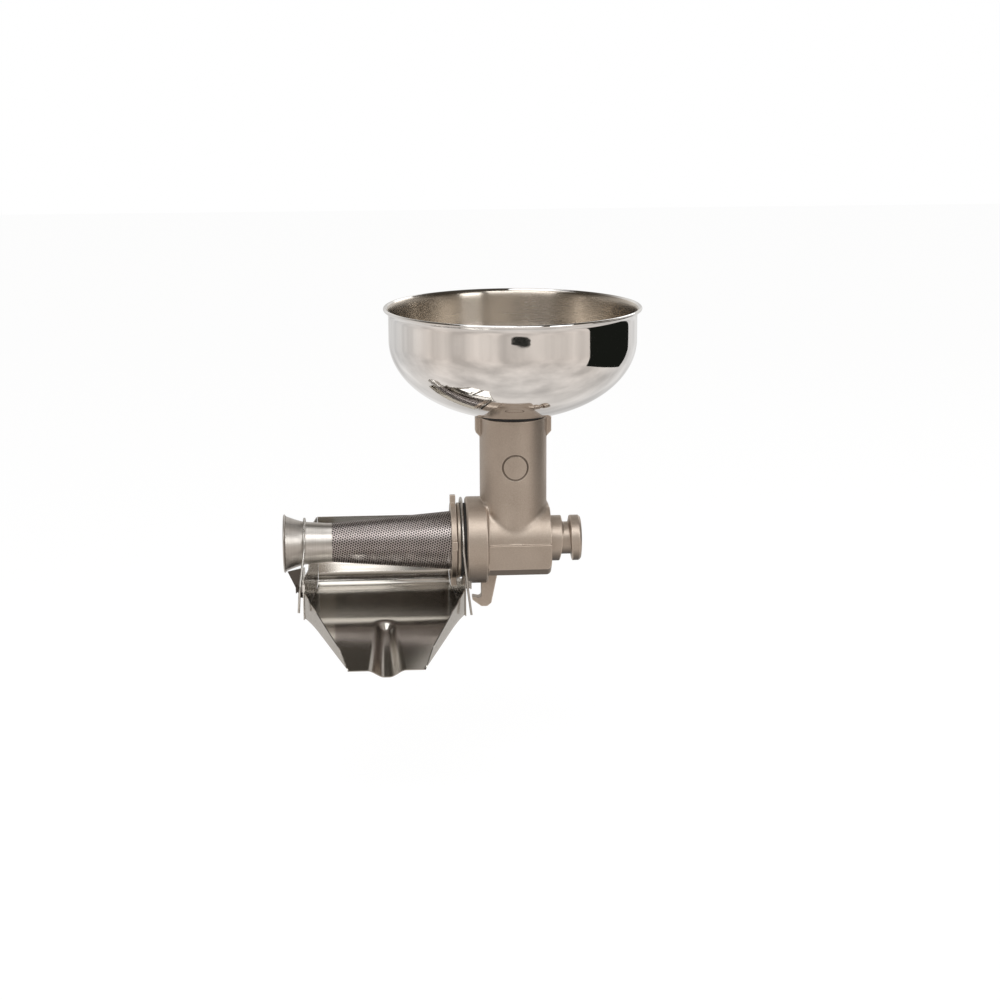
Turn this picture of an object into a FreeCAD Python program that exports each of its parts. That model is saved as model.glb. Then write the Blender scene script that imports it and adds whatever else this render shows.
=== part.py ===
import FreeCAD, Part
import math
import os

# Screw strainer head: a hopper feeds a cast body, a motor-driven auger presses the pulp
# through a perforated cone, juice runs off a hung tray and waste leaves by the flared end.
# Millimetres. X is the auger axis, +X out of the drive spigot; +Z is up; -Y is the front.

# Drive spigot, whose shoulder is the origin
spigot_radius = 23.5
spigot_collar = 12.6
spigot_length = 32.5
spigot_neck_radius = 16.7
groove_top_width = 5.8
groove_bottom_width = 12.4
groove_flank = 1.6
spigot_edge = 2.0

# Cast body
block_length = 64.0
barrel_radius = 38.0
block_half_width = 40.2
block_side_top = 3.0
block_side_bottom = -22.0
block_bottom = -30.0
block_end_round = 5.0
flange_radius = 44.7
flange_thickness = 22.0
flange_edge = 1.5
tube_offset = -36.6
tube_radius = 34.2
tube_bore_radius = 27.5
tube_top = 129.5
ear_reach = 4.4
ear_root = 2.0
ear_width = 14.0
ear_height = 15.0
ear_taper = 7.0
badge_height = 82.4
badge_radius = 13.5
badge_groove = 1.3
badge_depth = 0.8
hook_width = 12.0
hook_mouth = 16.8
hook_reach = 9.3
hook_stem = 6.2
hook_floor = 8.8
hook_lip = 1.6
hook_round = 3.5
hook_pocket = 3.0
gusset_reach = 11.7
gusset_foot = 4.1

# Bores of the body
barrel_bore_radius = 27.0
barrel_back_wall = 9.0
mouth_radius = 36.0
mouth_depth = 13.0
bayonet_groove_radius = 39.2
bayonet_groove_width = 6.0
bayonet_groove_inset = 4.0
bush_radius = 13.0
seal_radius = 16.0
seal_length = 5.0

# Drive line
shaft_radius = 10.0
shaft_tail_radius = 8.0
shaft_tail_length = 34.0
socket_width = 10.0
socket_depth = 14.0
shaft_inset = 3.5
running_gap = 0.05
washer_thickness = 2.5
washer_radius = 22.0
clip_radius = 12.2
clip_thickness = 1.2
clip_gap = 0.3
clip_opening = 5.0
clip_groove_depth = 1.0
cross_pin_radius = 2.5
cross_pin_inset = 18.0

# Auger
auger_core_radius = 13.0
flight_thickness = 4.0
flight_pitch = 46.0
flight_step = 30.0
flight_root = 2.0
auger_gap = 0.7
auger_nose_length = 8.0
auger_nose_radius = 5.0

# Screen cone, its end fittings and the gasket
gasket_gap = 6.0
gasket_radius = 38.2
screen_flange_thickness = 3.0
screen_flange_radius = 38.5
neck_wall = 2.6
neck_length = 11.0
grip_ring_width = 5.6
grip_ring_radius = 38.6
grip_shoulder_radius = 36.5
grip_shoulder_width = 1.0
grip_lug_radius = 47.0
grip_lug_width = 9.0
grip_lug_count = 4
grip_lug_turn = -7.0
bayonet_pin_radius = 2.4
bayonet_turn = 60.0
cone_wall = 0.8
cone_large_radius = 30.0
cone_small_radius = 19.7
cone_length = 124.0
collar_length = 25.4
collar_end_radius = 22.0
flare_length = 20.0
flare_radius = 28.6
flare_bead = 1.5
flare_power = 1.25
flare_steps = 3
seat_gap = 0.1

# Hopper bowl
bowl_radius = 125.0
bowl_wall = 1.0
bowl_lip = 5.0
bowl_bead = 1.7
bowl_straight = 33.3
bowl_dish = 79.4
bowl_funnel = 0.4
dish_steps = 7
bead_sides = 6
bowl_stand = -0.4
bowl_neck_gap = 0.25
bowl_neck_wall = 1.0
bowl_neck_drop = 28.0
bowl_neck_lip = 5.0
bowl_seal_radius = 30.2

# Juice tray
sheet = 1.0
tray_shift = 6.7
tray_back = 60.0
tray_back_top = 11.6
tray_back_half = 69.0
horn_y = -38.0
horn_half = 81.6
lip_y = -130.0
lip_half = 38.1
bend_y = -54.0
bend_z = -70.8
floor_fall = 4.4
lip_z = -96.0
tray_bend_radius = 16.0
wall_horn_top = -43.0
wall_notch_y = -112.0
wall_notch_top = -78.2
left_horn_top = -28.0
right_horn_top = -26.5
left_notch_gap = 1.2
right_notch_gap = 1.5
channel_start_width = 17.0
channel_start_depth = 4.0
channel_end_width = 35.0
channel_end_depth = 6.0
wing_y = -25.0
wing_reach = 18.0
wing_top = -23.5
wing_rise = 4.0
wing_lean = 24.0
wing_drop = 27.0
wing_fold = 10.0
wing_fold_reach = 12.6
wing_foot = 5.0
tongue_width = 8.0
tongue_reach = 5.5
tongue_lip = 7.0
tongue_z = -37.0

# Wire bails
wire_radius = 1.25
wire_sides = 8
bail_gap = 0.3
left_crown_rise = 1.0
right_crown_rise = 1.9
bail_pivot_z = 0.0
left_bail_inset = 0.1
left_pivot_y = 28.0
left_front_y = -24.5
left_leg_gap = 2.9
left_tail_lean = -1.6
left_tail_z = -65.0
right_bail_inset = 2.0
right_pivot_y = 54.0
right_front_y = -43.0
right_leg_gap = 1.1
right_tail_lean = 4.0
right_tail_z = -70.0
bail_tongue_gap = 2.0
pivot_stub_past = 2.0
pivot_hole_gap = 0.1

V = FreeCAD.Vector
FRONT_TO_BACK = V(0, 1, 0)
ALONG = V(1, 0, 0)
UP = V(0, 0, 1)
FAR = 400.0
TOUCH = 1e-3

flange_face = -block_length - flange_thickness
gasket_face = flange_face - gasket_gap
screen_flange_face = gasket_face - screen_flange_thickness
cone_root = screen_flange_face - grip_shoulder_width - grip_ring_width
cone_tip = cone_root - cone_length
collar_end = cone_tip - collar_length
flare_end = collar_end - flare_length
tray_centre = (cone_root + cone_tip) / 2 - tray_shift
left_bail_x = collar_end + left_bail_inset
right_bail_x = gasket_face + right_bail_inset
seal_face = -barrel_back_wall + seal_length
shaft_end = spigot_length - shaft_inset
clip_face = shaft_end - clip_gap - clip_thickness
washer_face = -barrel_back_wall - washer_thickness
auger_back = washer_face - running_gap
dish_top = tube_top + bowl_stand + bowl_dish
rim_top = dish_top + bowl_straight


def turned(points, axis_point=V(0, 0, 0), axis=ALONG):
    """Closed outline turned once round an axis."""
    outline = Part.makePolygon([*points, points[0]])
    return Part.Face(outline).revolve(axis_point, axis, 360)


def along_x(radius, start, end):
    return Part.makeCylinder(radius, end - start, V(start, 0, 0), ALONG)


def ring_x(outer, inner, start, end):
    return along_x(outer, start, end).cut(along_x(inner, start, end))


def upright(radius, bottom, top):
    return Part.makeCylinder(radius, top - bottom, V(tube_offset, 0, bottom), UP)


def side_prism(points, start, end):
    """Outline of (y, z) points pushed along X."""
    outline = [V(start, y, z) for y, z in points]
    face = Part.Face(Part.makePolygon([*outline, outline[0]]))
    return face.extrude(V(end - start, 0, 0))


def front_prism(points, back, front):
    """Outline of (x, z) points pushed along Y."""
    outline = [V(x, front, z) for x, z in points]
    face = Part.Face(Part.makePolygon([*outline, outline[0]]))
    return face.extrude(V(0, back - front, 0))


def plan_prism(points, bottom, top):
    """Outline of (x, y) points pushed along Z."""
    outline = [V(x, y, bottom) for x, y in points]
    face = Part.Face(Part.makePolygon([*outline, outline[0]]))
    return face.extrude(V(0, 0, top - bottom))


def dish_profile(inset):
    """Radius and height down the dished bottom, from the straight wall to the funnel at the neck."""
    half_width = bowl_radius - inset
    depth = bowl_dish - inset
    foot = math.asin((tube_bore_radius - bowl_neck_gap) / half_width)
    turns = [math.pi / 2 + (foot - math.pi / 2) * n / dish_steps for n in range(dish_steps + 1)]
    points = [(half_width * math.sin(t), dish_top - depth * math.cos(t)) for t in turns]
    radius, height = points[-1]
    return [*points[:-1], (radius, height - bowl_funnel)]


def dish_height(radius, inset=0.0):
    """Height of the dished bottom near the neck, on its outer skin moved inwards."""
    (far, high), (near, low) = dish_profile(inset)[-2:]
    return low + (high - low) * (radius - near) / (far - near)


def cone_radius(x):
    """Outside radius of the screen cone."""
    share = (cone_root - x) / cone_length
    return cone_large_radius + (cone_small_radius - cone_large_radius) * share


# Cast body

def spigot():
    solid = along_x(spigot_radius, 0, spigot_length)
    outer_edges = [e for e in solid.Edges if abs(e.BoundBox.XMin - spigot_length) < TOUCH]
    solid = solid.makeChamfer(spigot_edge, [e for e in outer_edges if e.Closed][:1])
    middle = spigot_collar + groove_flank + groove_top_width / 2
    half = groove_top_width / 2
    flank_groove = turned([
        V(middle - half, 0, spigot_neck_radius),
        V(middle + half, 0, spigot_neck_radius),
        V(middle + half + groove_flank, 0, spigot_radius),
        V(middle - half - groove_flank, 0, spigot_radius)])
    taper = (groove_bottom_width - groove_top_width) / (4 * spigot_neck_radius)
    root = spigot_neck_radius
    low = half + taper * (root + spigot_radius)
    high = half - taper * (spigot_radius - root)
    wedge = front_prism([
        (middle - low, -spigot_radius), (middle + low, -spigot_radius),
        (middle + high, spigot_radius), (middle - high, spigot_radius)],
        spigot_radius, -spigot_radius)
    sleeve = ring_x(spigot_radius, spigot_neck_radius, 0, spigot_length)
    return solid.cut(flank_groove).cut(wedge.common(sleeve))


def hook():
    """Cast hook under the flange, open to the front of the screen, with a gusset behind it."""
    mouth = -flange_radius - hook_mouth
    floor = mouth - hook_floor
    inner = -block_length - hook_stem
    tip = inner - hook_reach
    plate = front_prism([
        (-block_length + gusset_reach, -barrel_bore_radius),
        (-block_length + gusset_reach, block_bottom),
        (-block_length + gusset_foot, floor + hook_round), (-block_length, floor), (inner, floor),
        (tip, mouth - hook_lip), (tip, mouth + hook_lip), (tip + hook_lip, mouth + hook_lip),
        (inner, mouth), (inner, -barrel_radius)], hook_width / 2, -hook_width / 2)
    across = [e for e in plate.Edges if e.BoundBox.YLength > hook_width - TOUCH]
    plate = plate.makeFillet(hook_round / 2, [e for e in across if abs(e.BoundBox.ZMin - floor) < TOUCH])
    pocket = [e for e in plate.Edges if abs(e.BoundBox.ZMin - mouth) < TOUCH
              and abs(e.BoundBox.XMin - inner) < TOUCH and e.BoundBox.YLength > hook_width - TOUCH]
    return plate.makeFillet(hook_pocket, pocket)


def ear(side):
    inner = tube_offset + side * (tube_radius - ear_root)
    outer = tube_offset + side * (tube_radius + ear_reach)
    base = tube_top - ear_height
    return front_prism([
        (inner, tube_top), (outer, tube_top), (outer, base), (inner, base - ear_taper)],
        ear_width / 2, -ear_width / 2)


def badge_ring():
    """Round groove that frames the bare badge field on the front of the tube."""
    front = -tube_radius - badge_depth
    centre = V(tube_offset, front, badge_height)
    outer = Part.makeCylinder(badge_radius, tube_radius, centre, FRONT_TO_BACK)
    inner = Part.makeCylinder(badge_radius - badge_groove, tube_radius, centre, FRONT_TO_BACK)
    return outer.cut(inner).cut(upright(tube_radius - badge_depth, 0, tube_top))


def mill_body():
    barrel = along_x(barrel_radius, -block_length, 0)
    below = Part.makeBox(block_length, 2 * FAR, FAR, V(-block_length, -FAR, block_bottom - FAR))
    barrel = barrel.cut(below)
    chamfer = block_side_bottom - block_bottom
    half = block_half_width
    base = side_prism([
        (-half, block_side_top), (-half, block_side_bottom), (-half + chamfer, block_bottom),
        (half - chamfer, block_bottom), (half, block_side_bottom), (half, block_side_top)],
        -block_length, 0)
    end_edges = [e for e in base.Edges if e.BoundBox.XLength < TOUCH and e.BoundBox.XMin > -TOUCH
                 and e.BoundBox.ZMax < block_side_top - TOUCH]
    base = base.makeFillet(block_end_round, end_edges)
    flange = along_x(flange_radius, flange_face, -block_length)
    flange = flange.makeChamfer(flange_edge, [e for e in flange.Edges if e.Closed])
    tube = upright(tube_radius, 0, tube_top)
    solid = flange
    for casting in (barrel, base, tube, ear(-1), ear(1), hook(), spigot()):
        solid = solid.fuse(casting)
    solid = solid.cut(along_x(barrel_bore_radius, flange_face, -barrel_back_wall))
    solid = solid.cut(along_x(mouth_radius, flange_face, flange_face + mouth_depth))
    solid = solid.cut(along_x(seal_radius, -barrel_back_wall, seal_face))
    solid = solid.cut(along_x(bush_radius, seal_face, spigot_length))
    solid = solid.cut(upright(tube_bore_radius, 0, tube_top))
    groove_start = flange_face + bayonet_groove_inset
    groove_end = groove_start + bayonet_groove_width
    solid = solid.cut(along_x(bayonet_groove_radius, groove_start, groove_end))
    slot_half = bayonet_pin_radius + 2 * seat_gap
    slot = Part.makeBox(groove_end - flange_face, 2 * slot_half, bayonet_groove_radius,
                        V(flange_face, -slot_half, 0))
    slot = slot.common(along_x(bayonet_groove_radius, flange_face, 0))
    for turn in (bayonet_turn, bayonet_turn + 180):
        solid = solid.cut(slot.rotated(V(0, 0, 0), ALONG, turn))
    return solid.cut(badge_ring()).removeSplitter()


# Drive line

def rear_bush():
    return ring_x(bush_radius, shaft_radius + running_gap, seal_face, clip_face - clip_gap)


def shaft_seal():
    return ring_x(seal_radius, shaft_radius + running_gap, -barrel_back_wall, seal_face)


def thrust_washer():
    return ring_x(washer_radius, shaft_radius + running_gap, washer_face, -barrel_back_wall)


def cross_pin():
    """Pin through the auger's core and the shaft's tail, ground flush with the core."""
    half = auger_core_radius
    start = V(auger_back - cross_pin_inset, -half, 0)
    pin = Part.makeCylinder(cross_pin_radius, 2 * half, start, FRONT_TO_BACK)
    return pin.common(along_x(auger_core_radius, -FAR, 0))


def drive_shaft():
    journal = along_x(shaft_radius, auger_back, shaft_end)
    tail = along_x(shaft_tail_radius, auger_back - shaft_tail_length, auger_back)
    socket = Part.makeBox(socket_depth, socket_width, socket_width,
                          V(shaft_end - socket_depth, -socket_width / 2, -socket_width / 2))
    groove_radius = shaft_radius - clip_groove_depth
    clip_groove = ring_x(shaft_radius, groove_radius, clip_face, clip_face + clip_thickness)
    solid = journal.fuse(tail).cut(socket).cut(clip_groove)
    return solid.cut(cross_pin()).removeSplitter()


def shaft_clip():
    ring = ring_x(clip_radius, shaft_radius - clip_groove_depth, clip_face, clip_face + clip_thickness)
    gap = Part.makeBox(clip_thickness, clip_opening, clip_radius,
                       V(clip_face, -clip_opening / 2, -clip_radius))
    return ring.cut(gap)


def flight_radius(x):
    """Outside radius of the auger's flight: the barrel's bore, then the inside of the cone."""
    in_barrel = barrel_bore_radius - auger_gap
    return min(in_barrel, cone_radius(min(x, cone_root)) - cone_wall - auger_gap)


def flight_corners(turn):
    """Corners of the rectangle across the flight, after so many degrees of its helix."""
    x = auger_back - flight_thickness / 2 - flight_pitch * turn / 360
    half = flight_thickness / 2
    root = auger_core_radius - flight_root
    rim = flight_radius(x)
    turned_by = FreeCAD.Rotation(ALONG, turn)
    corners = [V(x - half, 0, root), V(x - half, 0, rim), V(x + half, 0, rim), V(x + half, 0, root)]
    return [turned_by.multVec(corner) for corner in corners]


def flat_face(*corners):
    return Part.Face(Part.makePolygon([*corners, corners[0]]))


def flight():
    """Helical flight as a closed band of flat facets, one ring of corners per step of turn."""
    turns = 360 * (auger_back - flight_thickness - cone_tip) / flight_pitch
    steps = int(turns / flight_step)
    rows = [flight_corners(turns * n / steps) for n in range(steps + 1)]
    faces = [flat_face(*rows[0]), flat_face(*rows[-1])]
    for row, after in zip(rows, rows[1:]):
        for a, b in ((0, 1), (1, 2), (2, 3), (3, 0)):
            faces.append(flat_face(row[a], row[b], after[b]))
            faces.append(flat_face(row[a], after[b], after[a]))
    solid = Part.makeSolid(Part.makeShell(faces))
    if solid.Volume < 0:
        solid.reverse()
    return solid


def auger():
    """Flight on a core with a blunt nose, bored for the shaft's tail and its cross pin."""
    core = turned([
        V(auger_back, 0, 0), V(auger_back, 0, auger_core_radius), V(cone_tip, 0, auger_core_radius),
        V(cone_tip - auger_nose_length, 0, auger_nose_radius), V(cone_tip - auger_nose_length, 0, 0)])
    hole = along_x(shaft_tail_radius, auger_back - shaft_tail_length, auger_back)
    return core.fuse(flight()).cut(hole).cut(cross_pin())


# Screen assembly

def cone_screen():
    end = cone_root + grip_ring_width + grip_shoulder_width
    return turned([
        V(end, 0, cone_large_radius), V(cone_root, 0, cone_large_radius), V(cone_tip, 0, cone_small_radius),
        V(cone_tip, 0, cone_small_radius - cone_wall), V(cone_root, 0, cone_large_radius - cone_wall),
        V(end, 0, cone_large_radius - cone_wall)])


def flare_outline(inset):
    """Skin of the outlet: a straight collar, then a flare that opens ever wider."""
    points = [V(cone_tip, 0, cone_small_radius - inset)]
    for n in range(flare_steps + 1):
        share = n / flare_steps
        radius = collar_end_radius + (flare_radius - collar_end_radius) * share ** flare_power
        points.append(V(collar_end - flare_length * share, 0, radius - inset))
    return points


def outlet_flare():
    """Plain collar butt-welded to the cone, spun out to a mouth with a rolled rim."""
    funnel = turned([*flare_outline(0), *reversed(flare_outline(cone_wall))])
    bead = turned(round_bead(V(flare_end, 0, flare_radius), flare_bead))
    return funnel.fuse(bead)


def screen_flange():
    plate = ring_x(screen_flange_radius, cone_large_radius - cone_wall, screen_flange_face, gasket_face)
    neck_radius = mouth_radius - seat_gap
    neck_end = flange_face + neck_length
    neck = ring_x(neck_radius, neck_radius - neck_wall, gasket_face, neck_end)
    pin_x = flange_face + bayonet_groove_inset + bayonet_groove_width / 2
    pin_root = neck_radius - neck_wall / 2
    pin_length = bayonet_groove_radius - 2 * seat_gap - pin_root
    solid = plate.fuse(neck)
    for side in (-1, 1):
        pin = Part.makeCylinder(bayonet_pin_radius, pin_length, V(pin_x, 0, side * pin_root), UP * side)
        solid = solid.fuse(pin)
    return solid.removeSplitter()


def grip_ring():
    shoulder_start = cone_root + grip_ring_width
    inner = cone_large_radius + seat_gap
    band = ring_x(grip_ring_radius, inner, cone_root, shoulder_start)
    shoulder = ring_x(grip_shoulder_radius, inner, shoulder_start, screen_flange_face)
    solid = band.fuse(shoulder)
    lug = Part.makeBox(grip_ring_width, grip_lug_width, grip_lug_radius - grip_shoulder_radius,
                       V(cone_root, -grip_lug_width / 2, grip_shoulder_radius))
    lug = lug.common(along_x(grip_lug_radius, cone_root, shoulder_start))
    for number in range(grip_lug_count):
        turn = grip_lug_turn + 360.0 * number / grip_lug_count
        solid = solid.fuse(lug.rotated(V(0, 0, 0), ALONG, turn))
    return solid.removeSplitter()


def body_gasket():
    return ring_x(gasket_radius, mouth_radius + seat_gap, gasket_face, flange_face)


# Hopper bowl

def round_bead(centre, radius, sides=bead_sides):
    """Corners of a rolled edge's section, in the plane through the axis it goes round."""
    turns = [2 * math.pi * (n + 0.5) / sides for n in range(sides)]
    return [centre + V(radius * math.cos(t), 0, radius * math.sin(t)) for t in turns]


def dish_points(inset):
    return [V(tube_offset + radius, 0, height) for radius, height in dish_profile(inset)]


def bowl():
    """Spun bowl: dished bottom, straight wall and a flat lip that ends in a rolled bead."""
    wall_top = rim_top - bowl_bead
    bead_centre = bowl_radius + bowl_lip - bowl_bead
    lip_low = wall_top - bowl_wall
    wall = turned([
        *dish_points(0), *reversed(dish_points(bowl_wall)),
        V(tube_offset + bowl_radius - bowl_wall, 0, wall_top), V(tube_offset + bead_centre, 0, wall_top),
        V(tube_offset + bead_centre, 0, lip_low), V(tube_offset + bowl_radius, 0, lip_low)],
        V(tube_offset, 0, 0), UP)
    bead = turned(round_bead(V(tube_offset + bead_centre, 0, wall_top), bowl_bead), V(tube_offset, 0, 0), UP)
    return wall.fuse(bead)


def bowl_neck():
    outer = tube_bore_radius - bowl_neck_gap - seat_gap
    inner = outer - bowl_neck_wall
    lip = outer + bowl_neck_lip
    bottom = tube_top - bowl_neck_drop
    foot_radius = tube_bore_radius - bowl_neck_gap
    seat = dish_height(lip, bowl_wall) + seat_gap
    return turned([
        V(tube_offset + inner, 0, bottom), V(tube_offset + outer, 0, bottom),
        V(tube_offset + outer, 0, dish_height(foot_radius, bowl_wall) + 2 * seat_gap),
        V(tube_offset + lip, 0, seat), V(tube_offset + lip, 0, seat + bowl_neck_wall),
        V(tube_offset + inner, 0, dish_height(inner, bowl_wall) + bowl_neck_wall)],
        V(tube_offset, 0, 0), UP)


def bowl_seal():
    inner = tube_bore_radius + seat_gap
    outer = bowl_seal_radius
    return turned([
        V(tube_offset + inner, 0, tube_top), V(tube_offset + outer, 0, tube_top),
        V(tube_offset + outer, 0, dish_height(outer) - seat_gap),
        V(tube_offset + inner, 0, dish_height(inner) - seat_gap)],
        V(tube_offset, 0, 0), UP)


# Juice tray

floor_slope = math.tan(math.radians(floor_fall))
chute_slope = (lip_z - bend_z) / (lip_y - bend_y)


def floor_height(y):
    """Top face of the pan: a gentle fall under the cone, then the steeper chute."""
    if y >= bend_y:
        return bend_z + (y - bend_y) * floor_slope
    return bend_z + (y - bend_y) * chute_slope


def tray_half(y):
    """Half width of the tray between its end walls and, further forward, its side walls."""
    if y >= horn_y:
        return tray_back_half + (horn_half - tray_back_half) * (tray_back - y) / (tray_back - horn_y)
    return horn_half + (lip_half - horn_half) * (horn_y - y) / (horn_y - lip_y)


def bow_radius(width, depth):
    """Radius of a circle that cuts a flat with this width when it sinks this deep."""
    return (width ** 2 / 4 + depth ** 2) / (2 * depth)


def channel():
    """Half cone pressed down along the middle of the chute, for pouring."""
    start_radius = bow_radius(channel_start_width, channel_start_depth)
    end_radius = bow_radius(channel_end_width, channel_end_depth)
    start = V(tray_centre, bend_y, bend_z + start_radius - channel_start_depth)
    end = V(tray_centre, lip_y, lip_z + end_radius - channel_end_depth)
    run = end - start
    grow = (end_radius - start_radius) / run.Length
    past = 2 * end_radius
    cone = Part.makeCone(start_radius, end_radius + grow * past, run.Length + past, start, run)
    return cone.fuse(Part.makeSphere(start_radius, start))


def below_pan(inset):
    """Everything under the pan's top face, from behind the channel's nose to the lip."""
    behind = bend_y + channel_start_width
    points = [(behind, floor_height(behind) - inset), (bend_y, bend_z - inset), (lip_y, lip_z - inset),
              (lip_y, lip_z - FAR), (behind, lip_z - FAR)]
    return side_prism(points, tray_centre - horn_half, tray_centre + horn_half)


def pan_section(inset):
    """Side outline of the bent sheet, moved down and back by an inset."""
    back = tray_back + inset
    low = floor_height(tray_back) - inset
    return [(back, tray_back_top), (back, low), (bend_y, bend_z - inset), (lip_y, lip_z - inset)]


def back_bend(blank, y):
    """Long edge of the blank where the back panel meets the pan, at one of its two faces."""
    low = floor_height(tray_back)
    return [e for e in blank.Edges if e.BoundBox.XLength > 2 * lip_half
            and abs(e.BoundBox.YMin - y) < TOUCH and abs(e.BoundBox.ZMin - low) < 2 * sheet]


def tray_trough():
    """One bent sheet: back panel, pan and chute, with a pressed channel and two low walls."""
    start = tray_centre - horn_half
    end = tray_centre + horn_half
    blank = side_prism([*pan_section(0), *reversed(pan_section(sheet))], start, end)
    blank = blank.makeFillet(tray_bend_radius + sheet, back_bend(blank, tray_back + sheet))
    blank = blank.makeFillet(tray_bend_radius, back_bend(blank, tray_back))
    edge_rows = (tray_back + 2 * sheet, horn_y, lip_y)
    left = [(tray_centre - tray_half(y), y) for y in edge_rows]
    right = [(tray_centre + tray_half(y), y) for y in edge_rows]
    plan = plan_prism([*left, *reversed(right)], lip_z - FAR, tray_back_top + sheet)
    hollow = channel()
    pressed = hollow.translated(V(0, 0, -sheet)).common(below_pan(sheet / 2))
    solid = blank.common(plan).fuse(pressed).cut(hollow)
    for side in (-1, 1):
        solid = solid.fuse(front_wall(side))
    return solid.removeSplitter()


def front_wall(side):
    """Low wall bent up from the chute's edge, running in from the horn to the lip."""
    line = [(tray_centre + side * (tray_half(y)), y) for y in (horn_y, lip_y)]
    outer = [(x + side * sheet, y) for x, y in line]
    strip = plan_prism([*line, *reversed(outer)], lip_z - FAR, tray_back_top)
    profile = side_prism([
        (horn_y, wall_horn_top), (wall_notch_y, wall_notch_top), (lip_y, lip_z),
        (lip_y, lip_z - sheet), (bend_y, bend_z - sheet), (horn_y, floor_height(horn_y) - sheet)],
        tray_centre - FAR, tray_centre + FAR)
    return strip.common(profile)


def cheek(side, notch, horn_top):
    """End wall of the tray, notched round the screen it hangs from."""
    line = [(tray_centre + side * (tray_half(y) + seat_gap), y) for y in (tray_back + sheet, horn_y)]
    outer = [(x + side * sheet, y) for x, y in line]
    low = floor_height(tray_back) - sheet
    round_corner = tray_bend_radius * (1 - math.sqrt(0.5))
    profile = side_prism([
        (tray_back + sheet, tray_back_top), (0, tray_back_top), (0, horn_top), (horn_y, horn_top),
        (horn_y, floor_height(horn_y) - sheet), (tray_back - tray_bend_radius, low),
        (tray_back - round_corner, low + round_corner), (tray_back + sheet, low + tray_bend_radius)],
        tray_centre - FAR, tray_centre + FAR)
    strip = plan_prism([*line, *reversed(outer)], lip_z, tray_back_top + sheet)
    return strip.common(profile).cut(notch)


def tongue(side, x):
    """Bent keeper beside the bail: a foot from the wall's front edge and a lip past the wire."""
    edge = tray_centre + side * (tray_half(horn_y) + seat_gap)
    foot = Part.makeBox(abs(x - edge) + sheet, sheet, tongue_width,
                        V(min(edge, x), horn_y - sheet, tongue_z - tongue_width / 2))
    lip = Part.makeBox(sheet, tongue_reach, tongue_lip,
                       V(x - sheet / 2, horn_y - tongue_reach, tongue_z - tongue_lip / 2))
    return foot.fuse(lip)


def pivot_hole(pivot_y):
    return Part.makeCylinder(wire_radius + pivot_hole_gap, 2 * FAR, V(-FAR, pivot_y, bail_pivot_z), ALONG)


def tray_left_cheek():
    notch = along_x(collar_end_radius + left_notch_gap, -FAR, FAR)
    wall = cheek(-1, notch, left_horn_top)
    edge = tray_centre - tray_half(wing_y) - seat_gap - sheet / 2
    wing = front_prism([
        (edge, wing_top + wing_rise), (edge - wing_reach, wing_top), (edge - wing_foot, wing_top - wing_drop),
        (edge, wing_top - wing_drop - sheet)], wing_y + sheet, wing_y)
    fold = plan_prism([(edge, wing_y), (edge - wing_fold_reach, wing_y), (edge, wing_y + wing_fold)],
                      wing_top - sheet, wing_top)
    foot = V(edge, wing_y, wing_top - wing_drop)
    wing = wing.fuse(fold).rotated(foot, ALONG, -wing_lean)
    solid = wall.multiFuse([wing, tongue(-1, left_tongue_x)])
    return solid.cut(pivot_hole(left_pivot_y)).removeSplitter()


def tray_right_cheek():
    lugs = along_x(grip_lug_radius + right_notch_gap, -FAR, screen_flange_face)
    rims = along_x(screen_flange_radius + right_notch_gap, screen_flange_face, FAR)
    wall = cheek(1, lugs.fuse(rims), right_horn_top)
    solid = wall.fuse(tongue(1, right_tongue_x))
    return solid.cut(pivot_hole(right_pivot_y)).removeSplitter()


# Wire bails

leg_y = horn_y - sheet - bail_tongue_gap - wire_radius
horn_reach = tray_half(horn_y) + seat_gap + sheet
left_leg_lean = tray_centre - horn_reach - left_leg_gap - left_bail_x
right_leg_lean = tray_centre + horn_reach + right_leg_gap - right_bail_x
left_tongue_x = left_bail_x + left_leg_lean - 2 * wire_radius - sheet
right_tongue_x = right_bail_x + right_leg_lean + 2 * wire_radius + sheet


def wire_section(centre, run):
    """Cross-section of the wire with a few flats, square to the way it runs."""
    across = ALONG if abs(run.x) < abs(run.z) + abs(run.y) else FRONT_TO_BACK
    side = run.cross(across).normalize()
    other = run.cross(side).normalize()
    turns = [2 * math.pi * (n + 0.5) / wire_sides for n in range(wire_sides)]
    corners = [centre + (side * math.cos(t) + other * math.sin(t)) * wire_radius for t in turns]
    return flat_face(*corners)


def rod(start, end):
    run = end - start
    return wire_section(start, run).extrude(run)


def bail(x, pivot_y, front_y, top_z, stub_end, leg_lean, tail_lean, tail_z):
    """Spring wire from its bent pivot end, over the neck and down past the keeper."""
    pivot = V(x, pivot_y, bail_pivot_z)
    front = V(x, front_y, bail_pivot_z)
    crown = V(x, (pivot_y + front_y) / 2, top_z)
    hoop = Part.Arc(pivot, crown, front).toShape()
    run = hoop.tangentAt(hoop.FirstParameter)
    sweep = math.degrees(hoop.LastParameter - hoop.FirstParameter)
    arch = wire_section(pivot, run).revolve(hoop.Curve.Center, hoop.Curve.Axis, sweep)
    knee = V(x + leg_lean, leg_y, tongue_z)
    tail = V(x + leg_lean + tail_lean, leg_y, tail_z)
    stub = V(stub_end, pivot_y, bail_pivot_z)
    overlap = UP * wire_radius
    corner = ALONG * (wire_radius if x > stub_end else -wire_radius)
    solid = arch
    for length in (rod(front + overlap, knee), rod(knee + overlap, tail), rod(pivot + corner, stub)):
        solid = solid.fuse(length)
    return solid


def bail_left():
    wall = tray_centre - tray_half(left_pivot_y) - seat_gap
    top = collar_end_radius + bail_gap + wire_radius + left_crown_rise
    return bail(left_bail_x, left_pivot_y, left_front_y, top, wall + sheet + pivot_stub_past,
                left_leg_lean, left_tail_lean, left_tail_z)


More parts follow.
